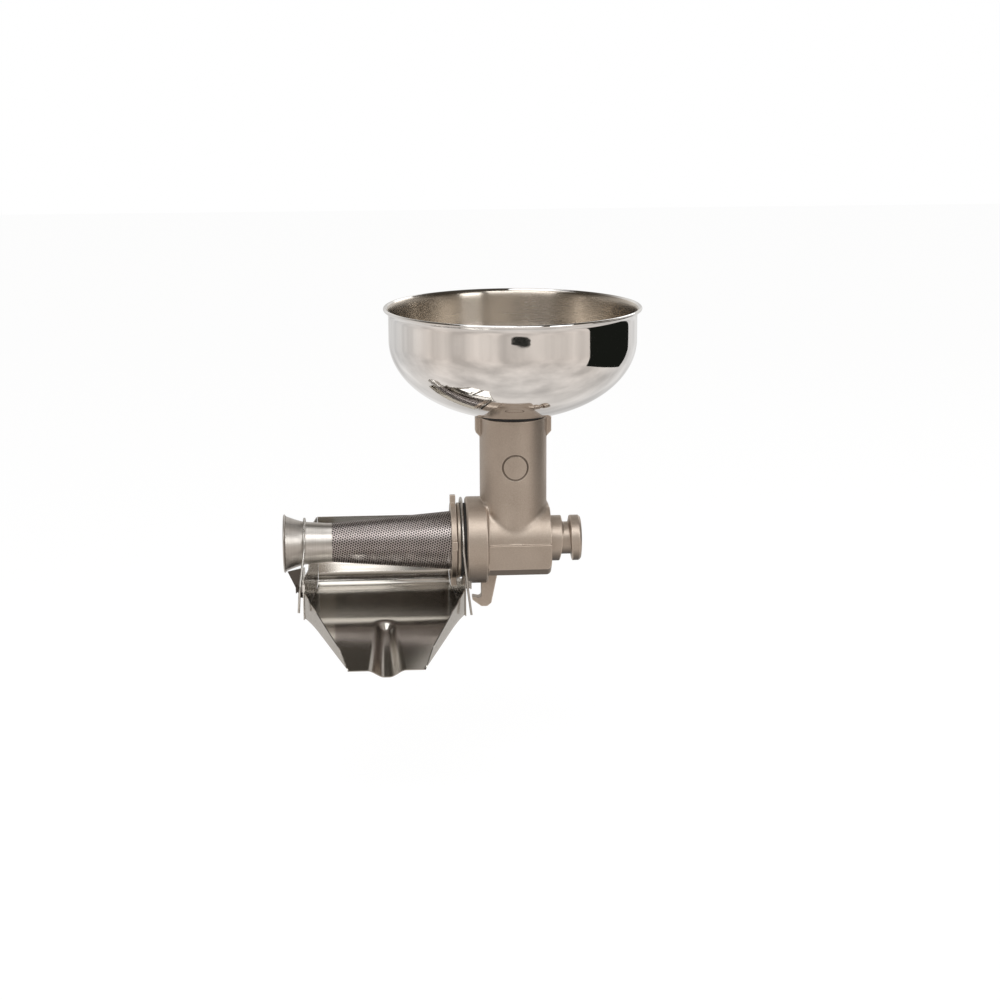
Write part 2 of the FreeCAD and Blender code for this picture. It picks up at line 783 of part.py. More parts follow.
def bail_right():
    wall = tray_centre + tray_half(right_pivot_y) + seat_gap
    top = gasket_radius + bail_gap + wire_radius + right_crown_rise
    return bail(right_bail_x, right_pivot_y, right_front_y, top, wall - pivot_stub_past,
                right_leg_lean, right_tail_lean, right_tail_z)


PIECES = (
    mill_body, rear_bush, shaft_seal, thrust_washer, drive_shaft, shaft_clip, cross_pin, auger,
    cone_screen, outlet_flare, screen_flange, grip_ring, body_gasket, bowl, bowl_neck, bowl_seal,
    tray_trough, tray_left_cheek, tray_right_cheek, bail_left, bail_right)

os.makedirs("parts", exist_ok=True)
for piece in PIECES:
    shape = piece()
    if shape.ShapeType == "Compound" and len(shape.Solids) == 1:
        shape = shape.Solids[0]
    print(piece.__name__, shape.ShapeType, len(shape.Solids), shape.isValid(), round(shape.Volume, 1))
    shape.exportStep(os.path.join("parts", piece.__name__ + ".step"))
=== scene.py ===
import math

import bmesh
import bpy
import numpy as np
from mathutils import Matrix, Vector


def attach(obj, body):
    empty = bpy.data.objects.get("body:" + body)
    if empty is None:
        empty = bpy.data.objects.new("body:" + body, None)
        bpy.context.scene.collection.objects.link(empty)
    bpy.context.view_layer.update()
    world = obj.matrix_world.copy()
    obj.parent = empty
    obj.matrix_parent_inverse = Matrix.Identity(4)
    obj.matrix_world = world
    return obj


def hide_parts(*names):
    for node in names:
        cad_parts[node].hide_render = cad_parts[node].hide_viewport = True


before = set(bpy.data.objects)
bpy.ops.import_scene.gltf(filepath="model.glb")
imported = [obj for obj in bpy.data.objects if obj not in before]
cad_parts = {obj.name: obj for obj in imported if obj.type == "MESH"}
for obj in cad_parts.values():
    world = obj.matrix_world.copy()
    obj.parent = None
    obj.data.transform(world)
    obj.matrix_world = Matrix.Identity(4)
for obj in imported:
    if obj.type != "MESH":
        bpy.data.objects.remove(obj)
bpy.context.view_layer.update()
scene = bpy.context.scene
scene.view_settings.view_transform = "Standard"
MM = 0.001

# Camera: the photograph's own viewpoint, two metres in front and a little above the hopper.
camera_at = Vector((-0.1847, -2.0, 0.5378))
camera_yaw = math.radians(3.85)
camera_pitch = math.radians(13.91)
camera_roll = math.radians(-0.249)
camera = bpy.data.objects.new("camera", bpy.data.cameras.new("camera"))
camera.data.lens = 72.4
camera.data.sensor_width = 36.0
forward = Vector((math.sin(camera_yaw) * math.cos(camera_pitch),
                  math.cos(camera_yaw) * math.cos(camera_pitch), -math.sin(camera_pitch)))
level = Vector((math.cos(camera_yaw), -math.sin(camera_yaw), 0.0))
upright = level.cross(forward)
across = level * math.cos(camera_roll) + upright * math.sin(camera_roll)
upward = upright * math.cos(camera_roll) - level * math.sin(camera_roll)
turn = Matrix((across, upward, -forward)).transposed()
camera.matrix_world = Matrix.Translation(camera_at) @ turn.to_4x4()
scene.collection.objects.link(camera)
scene.camera = camera


def tuned(nodes, kind, values):
    """New node of a kind with these values on its inputs."""
    node = nodes.new(kind)
    for name, value in values.items():
        node.inputs[name].default_value = value
    return node


# Room: white to the camera, softer as a light; five big area lamps do the rest. Reflections show the
# studio room further down instead.
world = bpy.data.worlds.new("room")
scene.world = world
world.use_nodes = True
nodes, links = world.node_tree.nodes, world.node_tree.links
nodes.clear()
path = nodes.new("ShaderNodeLightPath")
fill_light = tuned(nodes, "ShaderNodeBackground", {"Color": (1.0, 0.985, 0.965, 1), "Strength": 0.55})
white = tuned(nodes, "ShaderNodeBackground", {"Color": (1, 1, 1, 1), "Strength": 1.0})
mixed = nodes.new("ShaderNodeMixShader")
links.new(path.outputs["Is Camera Ray"], mixed.inputs["Fac"])
links.new(fill_light.outputs[0], mixed.inputs[1])
links.new(white.outputs[0], mixed.inputs[2])
links.new(mixed.outputs[0], nodes.new("ShaderNodeOutputWorld").inputs["Surface"])

aim_share = 0.8
lamp_aim = (-0.03, 0.001, 0.07)
for lamp_name, place, width, depth, power in (
        ("lamp_above", (-0.5, -1.25, 1.7), 2.2, 0.7, 17.5),
        ("lamp_low", (-0.5, -1.6, 1.1), 2.2, 0.6, 6.2),
        ("lamp_top", (-0.36, 0.0, 1.7), 1.0, 0.7, 4.6),
        ("lamp_right", (1.2, -1.5, 0.9), 0.8, 0.9, 9.0),
        ("lamp_back", (1.15, 1.5, 1.3), 1.2, 0.8, 4.0)):
    lamp = bpy.data.objects.new(lamp_name, bpy.data.lights.new(lamp_name, "AREA"))
    lamp.data.shape = "RECTANGLE"
    lamp.data.size = width
    lamp.data.size_y = depth
    lamp.data.energy = power
    lamp.location = place
    target = Vector((place[0] * aim_share + lamp_aim[0], lamp_aim[1], lamp_aim[2]))
    aim = target - Vector(place)
    lamp.rotation_euler = aim.to_track_quat("-Z", "Y").to_euler()
    scene.collection.objects.link(lamp)


def stage_card(name, corners, material):
    """Flat card between corners in metres, which belongs to the stage and not to the part."""
    mesh = bpy.data.meshes.new(name)
    mesh.from_pydata(corners, [], [tuple(range(len(corners)))])
    mesh.materials.append(material)
    card = bpy.data.objects.new(name, mesh)
    scene.collection.objects.link(card)
    return card


def empty_material(name):
    """New material without nodes, its nodes and its links."""
    material = bpy.data.materials.new(name)
    material.use_nodes = True
    material.node_tree.nodes.clear()
    return material, material.node_tree.nodes, material.node_tree.links


# Floor: a pale flat card well below the part, which hangs from a motor unit by its spigot.
# It reads white where nothing shades it and keeps a faint soft shadow.
floor_level = -0.26
floor_material = bpy.data.materials.new("pale_floor")
floor_material.use_nodes = True
nodes, links = floor_material.node_tree.nodes, floor_material.node_tree.links
floor_shader = nodes["Principled BSDF"]
floor_shader.inputs["Base Color"].default_value = (0.9, 0.9, 0.9, 1)
floor_shader.inputs["Roughness"].default_value = 0.9
glow = tuned(nodes, "ShaderNodeEmission", {"Color": (1, 1, 1, 1), "Strength": 1.03})
path = nodes.new("ShaderNodeLightPath")
share = nodes.new("ShaderNodeMath")
share.operation = "MULTIPLY"
share.inputs[1].default_value = 0.9
links.new(path.outputs["Is Camera Ray"], share.inputs[0])
lit = nodes.new("ShaderNodeMixShader")
links.new(share.outputs[0], lit.inputs["Fac"])
links.new(floor_shader.outputs[0], lit.inputs[1])
links.new(glow.outputs[0], lit.inputs[2])
links.new(lit.outputs[0], nodes["Material Output"].inputs["Surface"])
floor_half = 6.0
floor_corners = [(x * floor_half, y * floor_half, floor_level)
                 for x, y in ((-1, -1), (1, -1), (1, 1), (-1, 1))]
floor = stage_card("floor", floor_corners, floor_material)
floor.visible_glossy = False

# Studio room that only polished metal sees: warm grey below and in front, paler behind, with a dim
# ceiling, a dark doorway to the right, the camera's dark back and a bright table before the tray.
room_radius = 5.0
room_material, nodes, links = empty_material("studio_room")
place = nodes.new("ShaderNodeTexCoord")
facing = nodes.new("ShaderNodeVectorMath")
facing.operation = "NORMALIZE"
links.new(place.outputs["Object"], facing.inputs[0])
parts = nodes.new("ShaderNodeSeparateXYZ")
links.new(facing.outputs[0], parts.inputs[0])
lift = tuned(nodes, "ShaderNodeMapRange", {"From Min": -1.0})
links.new(parts.outputs["Z"], lift.inputs["Value"])
behind = tuned(nodes, "ShaderNodeMapRange", {"From Min": -0.1, "From Max": 0.75})
links.new(parts.outputs["Y"], behind.inputs["Value"])
tones = []
for stops in (((0.0, (0.72, 0.68, 0.645)), (0.42, (0.735, 0.665, 0.61)), (0.51, (0.74, 0.69, 0.64)),
               (0.58, (0.40, 0.36, 0.32)), (0.68, (0.10, 0.088, 0.07)), (1.0, (0.055, 0.048, 0.04))),
              ((0.0, (0.66, 0.63, 0.60)), (0.40, (0.78, 0.77, 0.76)), (0.74, (0.76, 0.74, 0.71)),
               (0.82, (0.32, 0.295, 0.27)), (0.88, (0.07, 0.062, 0.052)), (1.0, (0.055, 0.048, 0.04)))):
    ramp = nodes.new("ShaderNodeValToRGB")
    for number, (spot, tint) in enumerate(stops):
        stop = ramp.color_ramp.elements[number] if number < 2 else ramp.color_ramp.elements.new(spot)
        stop.position = spot
        stop.color = (*tint, 1)
    links.new(lift.outputs["Result"], ramp.inputs["Fac"])
    tones.append(ramp)
room_tone = nodes.new("ShaderNodeMix")
room_tone.data_type = "RGBA"
links.new(behind.outputs["Result"], room_tone.inputs["Factor"])
links.new(tones[0].outputs["Color"], room_tone.inputs["A"])
links.new(tones[1].outputs["Color"], room_tone.inputs["B"])
clutter = tuned(nodes, "ShaderNodeTexNoise", {"Scale": 2.2, "Detail": 4.0})
links.new(facing.outputs[0], clutter.inputs["Vector"])
shade = tuned(nodes, "ShaderNodeMapRange", {"From Min": 0.3, "From Max": 0.7,
                                            "To Min": 0.72, "To Max": 1.22})
links.new(clutter.outputs["Fac"], shade.inputs["Value"])
tone = nodes.new("ShaderNodeEmission")
links.new(room_tone.outputs["Result"], tone.inputs["Color"])
links.new(shade.outputs["Result"], tone.inputs["Strength"])
links.new(tone.outputs[0], nodes.new("ShaderNodeOutputMaterial").inputs["Surface"])
room_mesh = bpy.data.meshes.new("studio_room")
shape = bmesh.new()
bmesh.ops.create_uvsphere(shape, u_segments=48, v_segments=24, radius=room_radius)
shape.to_mesh(room_mesh)
shape.free()
room_mesh.materials.append(room_material)
room = bpy.data.objects.new("studio_room", room_mesh)
scene.collection.objects.link(room)

door_material, nodes, links = empty_material("dark_doorway")
tone = tuned(nodes, "ShaderNodeEmission", {"Color": (0.010, 0.011, 0.009, 1)})
links.new(tone.outputs[0], nodes.new("ShaderNodeOutputMaterial").inputs["Surface"])
door_corners = [(0.62, -0.30, -0.13), (0.62, 0.36, -0.15), (0.62, 0.4, 0.2), (0.62, -0.32, 0.2)]
door = stage_card("dark_doorway", door_corners, door_material)
lens_x, lens_y, lens_z = 0.012, -1.0, 0.079
lens_half_width = 0.15
lens_half_height = 0.0105
lens_turns = [2 * math.pi * n / 20 for n in range(20)]
lens_corners = [(lens_x + lens_half_width * math.cos(a), lens_y, lens_z + lens_half_height * math.sin(a))
                for a in lens_turns]
lens_card = stage_card("camera_back", lens_corners, door_material)

table_material, nodes, links = empty_material("bright_table")
place = nodes.new("ShaderNodeTexCoord")
parts = nodes.new("ShaderNodeSeparateXYZ")
links.new(place.outputs["Object"], parts.inputs[0])
fade = tuned(nodes, "ShaderNodeMapRange", {"From Min": -0.13, "From Max": -0.195,
                                           "To Min": 0.15, "To Max": 2.8})
fade.interpolation_type = "SMOOTHSTEP"
links.new(parts.outputs["X"], fade.inputs["Value"])
tone = tuned(nodes, "ShaderNodeEmission", {"Color": (1.0, 0.985, 0.965, 1)})
links.new(fade.outputs["Result"], tone.inputs["Strength"])
side = nodes.new("ShaderNodeNewGeometry")
one_sided = nodes.new("ShaderNodeMixShader")
links.new(side.outputs["Backfacing"], one_sided.inputs["Fac"])
links.new(tone.outputs[0], one_sided.inputs[1])
links.new(nodes.new("ShaderNodeBsdfTransparent").outputs[0], one_sided.inputs[2])
links.new(one_sided.outputs[0], nodes.new("ShaderNodeOutputMaterial").inputs["Surface"])
table_corners = [(-0.6, -0.40, -0.087), (-0.06, -0.40, -0.087), (-0.06, -0.60, -0.187),
                 (-0.6, -0.60, -0.187)]
table = stage_card("bright_table", table_corners, table_material)
for thing in (room, door, lens_card, table):
    thing.visible_camera = False
    thing.visible_diffuse = False
    thing.visible_shadow = False
    thing.visible_transmission = False

# Skin shared by every metal and by the rubber: fine grain drawn out along one direction, soft blotches,
# and from the two a colour, a roughness and a height.
skin = bpy.data.node_groups.new("metal_skin", "ShaderNodeTree")
for socket_name, kind in (("Grain", "Vector"), ("Blotch", "Float"), ("Dark", "Color"), ("Light", "Color"),
                          ("Smooth", "Float"), ("Rough", "Float")):
    skin.interface.new_socket(name=socket_name, in_out="INPUT", socket_type="NodeSocket" + kind)
for socket_name, kind in (("Colour", "Color"), ("Roughness", "Float"), ("Height", "Float")):
    skin.interface.new_socket(name=socket_name, in_out="OUTPUT", socket_type="NodeSocket" + kind)
nodes, links = skin.nodes, skin.links
given = nodes.new("NodeGroupInput")
made = nodes.new("NodeGroupOutput")
place = nodes.new("ShaderNodeTexCoord")
stretch = nodes.new("ShaderNodeVectorMath")
stretch.operation = "MULTIPLY"
links.new(place.outputs["Object"], stretch.inputs[0])
links.new(given.outputs["Grain"], stretch.inputs[1])
grain = tuned(nodes, "ShaderNodeTexNoise", {"Scale": 1.0, "Detail": 3.0})
links.new(stretch.outputs[0], grain.inputs["Vector"])
blotch = tuned(nodes, "ShaderNodeTexNoise", {"Detail": 2.0})
links.new(place.outputs["Object"], blotch.inputs["Vector"])
links.new(given.outputs["Blotch"], blotch.inputs["Scale"])
both = nodes.new("ShaderNodeMath")
both.operation = "ADD"
links.new(grain.outputs["Fac"], both.inputs[0])
links.new(blotch.outputs["Fac"], both.inputs[1])
share = tuned(nodes, "ShaderNodeMapRange", {"From Min": 0.65, "From Max": 1.35})
links.new(both.outputs[0], share.inputs["Value"])
colour = nodes.new("ShaderNodeMix")
colour.data_type = "RGBA"
links.new(share.outputs["Result"], colour.inputs["Factor"])
links.new(given.outputs["Dark"], colour.inputs["A"])
links.new(given.outputs["Light"], colour.inputs["B"])
rough = nodes.new("ShaderNodeMix")
rough.data_type = "FLOAT"
links.new(share.outputs["Result"], rough.inputs["Factor"])
links.new(given.outputs["Rough"], rough.inputs["A"])
links.new(given.outputs["Smooth"], rough.inputs["B"])
links.new(colour.outputs["Result"], made.inputs["Colour"])
links.new(rough.outputs["Result"], made.inputs["Roughness"])
links.new(grain.outputs["Fac"], made.inputs["Height"])


def metal(name, grain_size, blotch_size, dark, light, smooth, rough, bump, metallic=1.0, grip=0.0,
          axis="Z"):
    """Material with the shared skin; bump is in metres, grip the pull of its brush round the axis."""
    quarter_turn = 0.25
    material = bpy.data.materials.new(name)
    material.use_nodes = True
    nodes, links = material.node_tree.nodes, material.node_tree.links
    shader = nodes["Principled BSDF"]
    shader.inputs["Metallic"].default_value = metallic
    if grip:
        shader.inputs["Anisotropic"].default_value = grip
        shader.inputs["Anisotropic Rotation"].default_value = quarter_turn
        brushed = nodes.new("ShaderNodeTangent")
        brushed.direction_type = "RADIAL"
        brushed.axis = axis
        links.new(brushed.outputs[0], shader.inputs["Tangent"])
    group = nodes.new("ShaderNodeGroup")
    group.node_tree = skin
    for name, value in (("Grain", grain_size), ("Blotch", blotch_size), ("Dark", (*dark, 1)),
                        ("Light", (*light, 1)), ("Smooth", smooth), ("Rough", rough)):
        group.inputs[name].default_value = value
    relief = tuned(nodes, "ShaderNodeBump", {"Strength": 1.0, "Distance": bump})
    links.new(group.outputs["Height"], relief.inputs["Height"])
    links.new(group.outputs["Colour"], shader.inputs["Base Color"])
    links.new(group.outputs["Roughness"], shader.inputs["Roughness"])
    links.new(relief.outputs["Normal"], shader.inputs["Normal"])
    return material


def overlay(material, share, colour):
    """Lays a colour over a material's own, as far as a socket says."""
    nodes, links = material.node_tree.nodes, material.node_tree.links
    target = nodes["Principled BSDF"].inputs["Base Color"]
    mix = nodes.new("ShaderNodeMix")
    mix.data_type = "RGBA"
    mix.inputs["B"].default_value = (*colour, 1)
    links.new(share, mix.inputs["Factor"])
    links.new(target.links[0].from_socket, mix.inputs["A"])
    links.new(mix.outputs["Result"], target)


def add_piece(name, mesh, body, nodes, sharp=35.0):
    """Object for a finished mesh, smooth but for its sharp edges, tied to its body, with the nodes it
    replaces hidden.
    """
    mesh.shade_smooth()
    mesh.set_sharp_from_angle(angle=math.radians(sharp))
    piece = bpy.data.objects.new(name, mesh)
    scene.collection.objects.link(piece)
    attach(piece, body)
    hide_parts(*nodes)


def lathe(name, profile, axis, offset, steps, materials, inner_from=None):
    """Closed outline of (radius, height) points in mm, turned round the X or Z axis."""
    count = len(profile)
    turns = [2 * math.pi * n / steps for n in range(steps)]
    if axis == "Z":
        points = [(offset + r * math.cos(a), r * math.sin(a), h) for a in turns for r, h in profile]
    else:
        points = [(h, r * math.cos(a), r * math.sin(a)) for a in turns for r, h in profile]
    faces = []
    for n in range(steps):
        row, after = n * count, (n + 1) % steps * count
        for k in range(count):
            step = (k + 1) % count
            faces.append((row + k, row + step, after + step, after + k))
    mesh = bpy.data.meshes.new(name)
    mesh.from_pydata([Vector(p) * MM for p in points], [], faces)
    for material in materials:
        mesh.materials.append(material)
    if inner_from is not None:
        for face in mesh.polygons:
            face.material_index = int(face.index % count >= inner_from)
    face_out(mesh)
    return mesh


def face_out(mesh):
    """Turns all faces of a closed mesh outwards."""
    shape = bmesh.new()
    shape.from_mesh(mesh)
    bmesh.ops.recalc_face_normals(shape, faces=shape.faces)
    shape.to_mesh(mesh)
    shape.free()


def curve_through(start, bend, end, count):
    """Points of a bend from start to end that leaves and arrives along the corner."""
    points = []
    for n in range(count + 1):
        t = n / count
        points.append(tuple((1 - t) ** 2 * a + 2 * t * (1 - t) * b + t * t * c
                            for a, b, c in zip(start, bend, end)))
    return points


def soften(outline, size, count=4):
    """Closed outline with every corner turned into a short bend."""
    longest = 0.45
    points = []
    for n, corner in enumerate(outline):
        here = Vector(corner)
        before = Vector(outline[n - 1]) - here
        after = Vector(outline[(n + 1) % len(outline)]) - here
        start = here + before.normalized() * min(size, before.length * longest)
        end = here + after.normalized() * min(size, after.length * longest)
        points += curve_through(tuple(start), tuple(here), tuple(end), count)
    return points


# Hopper bowl: spun from one disc of stainless sheet, dished below, straight above, with its edge
# rolled outwards. Polished like a mirror outside, brushed round and round inside.
bowl_centre = -36.6
bowl_radius = 125.0
bowl_sheet = 1.0
dish_depth = 79.4
dish_top = 208.5
lip_start = 231.0
bead_radius = 1.7
bead_ring = 128.3
bead_height = 240.1
lip_bend = 238.4
inside_edge = (126.4, 240.2)
inside_bend = 239.6
neck_hole = 27.25
funnel_start = 50.1
funnel_drop = 0.4
mirror_steel = metal("mirror_steel", (14, 14, 22), 9.0, (0.80, 0.785, 0.77), (0.88, 0.87, 0.86),
                     0.03, 0.06, 0.0002)
brushed_inside = metal("brushed_inside", (60, 60, 2600), 9.0, (0.475, 0.427, 0.37), (0.60, 0.546, 0.48),
                       0.2, 0.3, 0.00001, grip=0.92)


def dish(inset, count=44):
    """Dished bottom from the neck's hole up to the straight wall."""
    half, depth = bowl_radius - inset, dish_depth - inset
    first = math.asin(neck_hole / half)
    turns = [first + (math.pi / 2 - first) * n / count for n in range(count + 1)]
    points = [(half * math.sin(t), dish_top - depth * math.cos(t)) for t in turns]
    funnel_width = funnel_start - neck_hole
    return [(r, z - funnel_drop * max(0.0, (funnel_start - r) / funnel_width) ** 2) for r, z in points]


bowl_bore = bowl_radius - bowl_sheet
bead_turns = [math.radians(-90 + 240 * n / 16) for n in range(17)]
bowl_outside = dish(0.0) + [(bowl_radius, dish_top + (lip_start - dish_top) * n / 6) for n in range(1, 6)]
bowl_outside += curve_through((bowl_radius, lip_start), (bowl_radius, lip_bend), (bead_ring, lip_bend), 8)
bowl_outside += [(bead_ring + bead_radius * math.cos(t), bead_height + bead_radius * math.sin(t))
                 for t in bead_turns[1:]]
bowl_inside = curve_through(inside_edge, (bowl_bore, inside_bend), (bowl_bore, lip_start), 8)
bowl_inside += [(bowl_bore, lip_start + (dish_top - lip_start) * n / 6) for n in range(1, 6)]
bowl_inside += list(reversed(dish(bowl_sheet)))
bowl_mesh = lathe("hopper_bowl", bowl_outside + bowl_inside, "Z", bowl_centre, 256,
                  [mirror_steel, brushed_inside], inner_from=len(bowl_outside))
add_piece("hopper_bowl", bowl_mesh, "hopper", ["bowl"])

# Hopper neck: short stainless sleeve, turned out at the top and welded to the bowl's bottom. It drops
# into the feed tube and keeps the bowl upright.
neck_outer = 27.15
neck_inner = 26.15
neck_lip = 32.1
neck_outline = [(neck_inner, 101.5), (neck_outer, 101.5), (neck_outer, 131.65), (neck_lip, 132.65),
                (neck_lip, 133.6), (neck_inner, 132.4)]
neck_mesh = lathe("hopper_neck", soften(neck_outline, 0.6, 3), "Z", bowl_centre, 128, [brushed_inside])
add_piece("hopper_neck", neck_mesh, "hopper", ["bowl_neck"])

# Cast body: tinned cast iron with a satin champagne skin. The casting's edges are all softened and
# its feed tube runs into the barrel with a generous fillet; the round badge field is left bare.
badge_centre = (bowl_centre, 0.0, 82.4)
badge_inner = 11.4
badge_outer = 13.9
badge_edge = 0.75
badge_front = -25.0
cast_metal = metal("cast_metal", (900, 900, 900), 26.0, (0.405, 0.337, 0.278), (0.505, 0.432, 0.367),
                   0.36, 0.48, 0.00006, metallic=0.82)
nodes, links = cast_metal.node_tree.nodes, cast_metal.node_tree.links
# Painted shade in the round badge's ring groove: a ring mask on the front of the body darkens the colour
# there.
place = nodes.new("ShaderNodeTexCoord")
from_badge = nodes.new("ShaderNodeVectorMath")
from_badge.operation = "SUBTRACT"
from_badge.inputs[1].default_value = [c * MM for c in badge_centre]
links.new(place.outputs["Object"], from_badge.inputs[0])
parts = nodes.new("ShaderNodeSeparateXYZ")
links.new(from_badge.outputs[0], parts.inputs[0])
flat = nodes.new("ShaderNodeCombineXYZ")
links.new(parts.outputs["X"], flat.inputs["X"])
links.new(parts.outputs["Z"], flat.inputs["Z"])
reach = nodes.new("ShaderNodeVectorMath")
reach.operation = "LENGTH"
links.new(flat.outputs[0], reach.inputs[0])
off_ring = nodes.new("ShaderNodeMath")
off_ring.operation = "SUBTRACT"
off_ring.inputs[1].default_value = (badge_inner + badge_outer) / 2 * MM
links.new(reach.outputs["Value"], off_ring.inputs[0])
far = nodes.new("ShaderNodeMath")
far.operation = "ABSOLUTE"
links.new(off_ring.outputs[0], far.inputs[0])
groove = tuned(nodes, "ShaderNodeMapRange", {"From Min": (badge_outer - badge_inner) / 2 * MM,
                                             "From Max": badge_edge * MM})
groove.interpolation_type = "SMOOTHSTEP"
links.new(far.outputs[0], groove.inputs["Value"])
in_front = nodes.new("ShaderNodeMath")
in_front.operation = "LESS_THAN"
in_front.inputs[1].default_value = badge_front * MM
links.new(parts.outputs["Y"], in_front.inputs[0])
painted_groove_shade = nodes.new("ShaderNodeMath")
painted_groove_shade.operation = "MULTIPLY"
links.new(groove.outputs["Result"], painted_groove_shade.inputs[0])
links.new(in_front.outputs[0], painted_groove_shade.inputs[1])
# Painted light: faces turned downwards take a painted shade ('under'), standing edges a painted highlight
# ('edge').
for attribute_name, tint in (("under", (0.09, 0.074, 0.06)), ("edge", (0.72, 0.62, 0.53))):
    stored = nodes.new("ShaderNodeAttribute")
    stored.attribute_name = attribute_name
    overlay(cast_metal, stored.outputs["Fac"], tint)
overlay(cast_metal, painted_groove_shade.outputs[0], (0.17, 0.138, 0.11))
melt_in = 0.6
melt_out = 0.61
fillet_passes = 90
fillet_pull = 0.7
# Where the painted highlight on standing edges starts and how fast it grows, then the same for the painted
# shade underneath.
edge_highlight_from = 0.035
edge_highlight_span = 0.13
underside_shade_gain = 2.0
underside_shade_from = 0.6
shortest_edge = 1e-9


def mesh_arrays(mesh):
    """Points, edge ends and neighbour counts of a mesh."""
    points = np.empty(len(mesh.vertices) * 3)
    mesh.vertices.foreach_get("co", points)
    points = points.reshape(-1, 3)
    ends = np.empty(len(mesh.edges) * 2, dtype=np.int64)
    mesh.edges.foreach_get("vertices", ends)
    ends = ends.reshape(-1, 2)
    return points, ends, np.bincount(ends.ravel(), minlength=len(points))[:, None]


def built_mesh(thing):
    """Mesh of an object with its modifiers carried out."""
    return bpy.data.meshes.new_from_object(thing.evaluated_get(bpy.context.evaluated_depsgraph_get()))


def casting(name, node, voxel, passes, keep, material, fillet=None):
    """Copy of a node's solid with its edges melted a little, as a sand mould leaves them."""
    rough_copy = bpy.data.objects.new(name + "_rough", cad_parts[node].data.copy())
    scene.collection.objects.link(rough_copy)
    remesh = rough_copy.modifiers.new("remesh", "REMESH")
    remesh.mode = "VOXEL"
    remesh.voxel_size = voxel
    mesh = built_mesh(rough_copy)
    points, ends, degree = mesh_arrays(mesh)
    weight = fillet(points) if fillet else None
    for _ in range(passes):
        move = near_mean(points, ends, degree) - points
        points = points + move * melt_in
        move = near_mean(points, ends, degree) - points
        points = points - move * melt_out
    if fillet:
        for _ in range(fillet_passes):
            points = points + (near_mean(points, ends, degree) - points) * fillet_pull * weight
    mesh.vertices.foreach_set("co", points.ravel())
    mesh.update()
    rough_copy.modifiers.clear()
    old = rough_copy.data
    rough_copy.data = mesh
    slim = rough_copy.modifiers.new("slim", "DECIMATE")
    slim.ratio = keep
    done = built_mesh(rough_copy)
    bpy.data.objects.remove(rough_copy)
    bpy.data.meshes.remove(old)
    done.name = name
    done.materials.clear()
    done.materials.append(material)
    mark_painted_light(done)
    return done


def mark_painted_light(mesh):
    """Stores where a casting gets a painted highlight, on standing edges, and painted shade, underneath."""
    points, ends, degree = mesh_arrays(mesh)
    normals = np.empty(len(mesh.vertices) * 3)
    mesh.vertex_normals.foreach_get("vector", normals)
    normals = normals.reshape(-1, 3)
    run = points[ends[:, 1]] - points[ends[:, 0]]
    run /= np.maximum(np.linalg.norm(run, axis=1), shortest_edge)[:, None]
    rise = np.bincount(ends[:, 0], -(run * normals[ends[:, 0]]).sum(1), len(points))
    rise += np.bincount(ends[:, 1], (run * normals[ends[:, 1]]).sum(1), len(points))
    rise /= degree[:, 0]
    rise = (rise + near_mean(rise[:, None].repeat(3, 1), ends, degree)[:, 0]) / 2
    for name, amount in (("under", -normals[:, 2] * underside_shade_gain - underside_shade_from),
                         ("edge", (rise - edge_highlight_from) / edge_highlight_span)):
        stored = mesh.attributes.new(name, "FLOAT", "POINT")
        stored.data.foreach_set("value", np.clip(amount, 0, 1).astype(np.float32))


def near_mean(points, ends, degree):
    """Mean of each point's neighbours along the edges."""
    total = np.zeros_like(points)
    for axis in range(3):
        total[:, axis] = np.bincount(ends[:, 0], points[ends[:, 1], axis], len(points))
        total[:, axis] += np.bincount(ends[:, 1], points[ends[:, 0], axis], len(points))
    return total / degree


tube_radius = 34.2
tube_bore = 31.0
barrel_radius = 38.0
barrel_end = -64.0
fillet_reach = 4.6
fillet_fade = 3.4
fillet_low = 2.0
fillet_high = 62.0


def tube_fillet(points):
    """How far each point takes part in the fillet between the feed tube and the barrel."""
    x, y, z = (points / MM).T
    from_axis = np.hypot(x - bowl_centre, y)
    tube = np.abs(from_axis - tube_radius)
    barrel = np.minimum(np.abs(np.hypot(y, z) - barrel_radius), np.abs(x - barrel_end))
    near = np.maximum(tube, barrel)
    share = np.clip((fillet_reach - near) / fillet_fade, 0, 1)
    share[(z < fillet_low) | (z > fillet_high)] = 0
    share[from_axis < tube_bore] = 0
    return share[:, None]


body_mesh = casting("cast_body", "mill_body", voxel=0.55 * MM, passes=4, keep=0.2, material=cast_metal,
                    fillet=tube_fillet)
add_piece("cast_body", body_mesh, "mill", ["mill_body"], sharp=80.0)

# Grip ring: cast ring with lugs to turn the screen's bayonet by hand, with the body's finish. It sits
# round the cone's large end, in front of the screen flange.
ring_mesh = casting("screen_grip", "grip_ring", voxel=0.45 * MM, passes=5, keep=0.4, material=cast_metal)
add_piece("screen_grip", ring_mesh, "screen", ["grip_ring"], sharp=80.0)

# Perforated cone: stainless sheet punched all over with small staggered holes, rolled and welded
# along a plain seam at the back. The holes are cut as a flat lattice, then rolled up.
cone_large = 30.0
cone_small = 19.7
cone_start = -101.6
cone_length = 124.0
cone_wall = 0.8
hole_pitch = 2.7
hole_radius = 1.11
hole_slant = math.radians(-9.9)
holes_over = 0.8
holes_short = 1.0
weld_reach = 0.00004
cone_slant = math.hypot(cone_length, cone_large - cone_small)
cone_sine = (cone_large - cone_small) / cone_slant
cone_cosine = cone_length / cone_slant
cone_apex = cone_large / cone_sine
screen_steel = metal("screen_steel", (500, 500, 500), 40.0, (0.44, 0.392, 0.375), (0.58, 0.525, 0.505),
                     0.36, 0.46, 0.000005)
